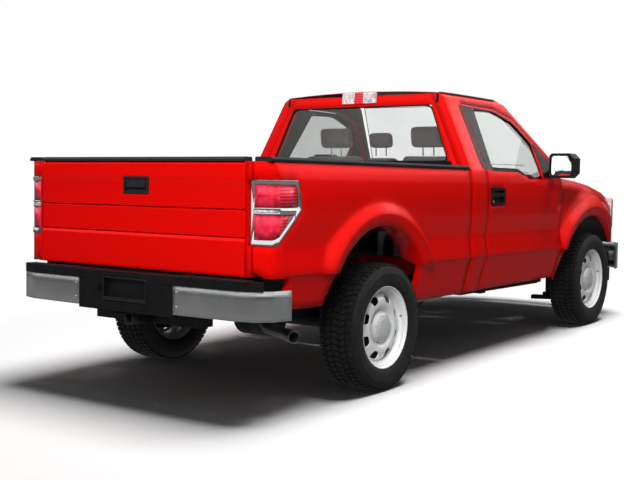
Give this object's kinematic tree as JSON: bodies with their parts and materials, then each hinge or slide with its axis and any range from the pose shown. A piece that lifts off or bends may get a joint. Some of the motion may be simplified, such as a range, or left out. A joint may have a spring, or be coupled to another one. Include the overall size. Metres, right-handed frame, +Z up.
{
  "type": "pickup truck",
  "caption": "Full-size pickup truck with a regular cab, short cargo bed with flared arches, drop tailgate, hinged doors and hood, steered front wheels and rolling wheels.",
  "frame": {"origin": "on the ground under the middle of the truck", "axes": "+X towards the front, +Y to the left side, +Z up"},
  "size_m": [5.377, 2.412, 1.8608],
  "materials": {
    "black_plastic": "moulded grain",
    "cabin_plastic": "fine grain",
    "cast_black": "as cast",
    "chrome": "polished",
    "engine_alloy": "as cast",
    "exhaust_steel": "dull",
    "frame_black": "wax coat",
    "glass": "tinted",
    "lamp_clear": "clear",
    "lamp_red": "clear gloss",
    "red_paint": "gloss clear coat",
    "seat_cloth": "woven",
    "tank_plastic": "moulded",
    "tyre": "moulded rubber",
    "wheel_silver": "silver paint"
  },
  "bodies": {
    "truck": {"bed_floor": "red_paint", "bed_front_wall": "red_paint", "bed_rail_caps": "black_plastic", "bedside_left": "red_paint", "bedside_right": "red_paint", "bumper_step_pad": "black_plastic", "cab_back_panel": "red_paint", "cab_floor": "red_paint", "cab_side_left": "red_paint", "cab_side_right": "red_paint", "chassis_frame": "frame_black", "cowl_panel": "black_plastic", "dashboard": "cabin_plastic", "engine_and_gearbox": "engine_alloy", "exhaust": "exhaust_steel", "front_bumper": "chrome", "front_fenders": "red_paint", "front_structure": "black_plastic", "front_suspension": "cast_black", "front_valance": "black_plastic", "fuel_tank": "tank_plastic", "grille": "black_plastic", "headlamps": "lamp_clear", "hitch_crossbar": "frame_black", "hitch_receiver": "frame_black", "prop_shaft": "cast_black", "rear_axle": "cast_black", "rear_bumper": "chrome", "rear_springs": "cast_black", "rear_window": "glass", "roof_panel": "red_paint", "seat_backs": "seat_cloth", "seat_cushion": "seat_cloth", "stop_lamp": "lamp_red", "tail_lamps": "lamp_red", "wheelhouses": "red_paint", "windshield": "glass"},
    "rear_wheel_left": {"tyre_rear_left": "tyre", "rim_rear_left": "wheel_silver"},
    "front_wheel_left": {"tyre_front_left": "tyre", "rim_front_left": "wheel_silver"},
    "knuckle_left": {"knuckle_left": "cast_black"},
    "door_left": {"door_left": "red_paint", "door_glass_left": "glass", "mirror_left": "black_plastic", "door_handle_left": "black_plastic"},
    "rear_wheel_right": {"tyre_rear_right": "tyre", "rim_rear_right": "wheel_silver"},
    "front_wheel_right": {"tyre_front_right": "tyre", "rim_front_right": "wheel_silver"},
    "knuckle_right": {"knuckle_right": "cast_black"},
    "door_right": {"door_right": "red_paint", "door_glass_right": "glass", "mirror_right": "black_plastic", "door_handle_right": "black_plastic"},
    "hood": {"hood": "red_paint"},
    "tailgate": {"tailgate": "red_paint", "tailgate_trim": "black_plastic"},
    "fuel_door": {"fuel_door": "red_paint"},
    "steering_wheel": {"steering_wheel": "cabin_plastic"}
  },
  "joints": [
    {"name": "rear_spin_left", "type": "hinge", "parent": "truck", "child": "rear_wheel_left", "pos_m": [-1.49446, 0.851, 0.381], "axis": [0, 1, 0], "continuous": true},
    {"name": "rear_spin_right", "type": "hinge", "parent": "truck", "child": "rear_wheel_right", "pos_m": [-1.49446, -0.851, 0.381], "axis": [0, 1, 0], "continuous": true},
    {"name": "steer_left", "type": "hinge", "parent": "truck", "child": "knuckle_left", "pos_m": [1.70554, 0.772, 0.381], "axis": [0, 0, 1], "range_deg": [-32, 32]},
    {"name": "steer_right", "type": "hinge", "parent": "truck", "child": "knuckle_right", "pos_m": [1.70554, -0.772, 0.381], "axis": [0, 0, 1], "range_deg": [-32, 32]},
    {"name": "front_spin_left", "type": "hinge", "parent": "knuckle_left", "child": "front_wheel_left", "pos_m": [1.70554, 0.851, 0.381], "axis": [0, 1, 0], "continuous": true},
    {"name": "front_spin_right", "type": "hinge", "parent": "knuckle_right", "child": "front_wheel_right", "pos_m": [1.70554, -0.851, 0.381], "axis": [0, 1, 0], "continuous": true},
    {"name": "door_left_swing", "type": "hinge", "parent": "truck", "child": "door_left", "pos_m": [0.97026, 0.944, 0.83577], "axis": [-0.0262, 0, -0.9997], "range_deg": [0, 65]},
    {"name": "door_right_swing", "type": "hinge", "parent": "truck", "child": "door_right", "pos_m": [0.97026, -0.944, 0.83577], "axis": [0.0262, 0, 0.9997], "range_deg": [0, 65]},
    {"name": "hood_lift", "type": "hinge", "parent": "truck", "child": "hood", "pos_m": [1.30752, 0, 1.18506], "axis": [0, -1, 0], "range_deg": [0, 48]},
    {"name": "tailgate_drop", "type": "hinge", "parent": "truck", "child": "tailgate", "pos_m": [-2.57234, 0, 0.78248], "axis": [0, -1, 0], "range_deg": [0, 90]},
    {"name": "fuel_door_swing", "type": "hinge", "parent": "truck", "child": "fuel_door", "pos_m": [-0.74632, 0.96, 1.16081], "axis": [-0.0262, 0, -0.9997], "range_deg": [0, 100]},
    {"name": "steering_wheel_turn", "type": "hinge", "parent": "truck", "child": "steering_wheel", "pos_m": [0.72107, 0.39, 1.13739], "axis": [-0.887, 0, 0.4617], "range_deg": [-560, 560]}
  ],
  "couplings": [
    {"joint": "steer_right", "follows": "steer_left", "ratio": 1},
    {"joint": "steering_wheel_turn", "follows": "steer_left", "ratio": 17}
  ]
}
